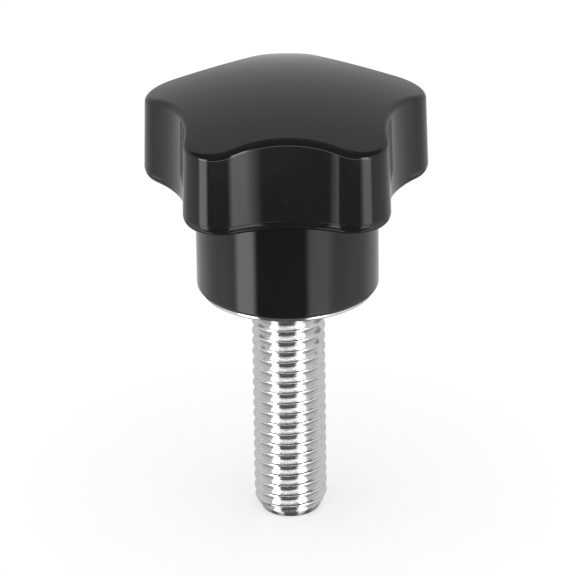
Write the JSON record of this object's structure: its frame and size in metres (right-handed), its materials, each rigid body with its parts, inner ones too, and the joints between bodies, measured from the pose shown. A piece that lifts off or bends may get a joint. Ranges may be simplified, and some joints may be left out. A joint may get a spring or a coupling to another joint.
{
  "type": "star knob",
  "caption": "Five-lobed moulded star knob with a plated insert ring under its boss and a fixed M8 threaded stud, for clamping by hand.",
  "frame": {"origin": "on the knob's axis at the seating face, the underside of the insert's flange, where the stud leaves it", "axes": "+Z along the axis from the stud to the head's crown; +Y through the middle of one lobe; the stud points down, -Z"},
  "size_m": [0.0308, 0.0297, 0.0504],
  "materials": {
    "black_moulding": "polished black thermoset moulding",
    "zinc_flange": "bright zinc plating on turned steel",
    "zinc_stud": "bright zinc plating on a rolled thread"
  },
  "bodies": {
    "root": {"star_head": "black_moulding", "flanged_insert": "zinc_flange", "threaded_stud": "zinc_stud"}
  },
  "joints": []
}
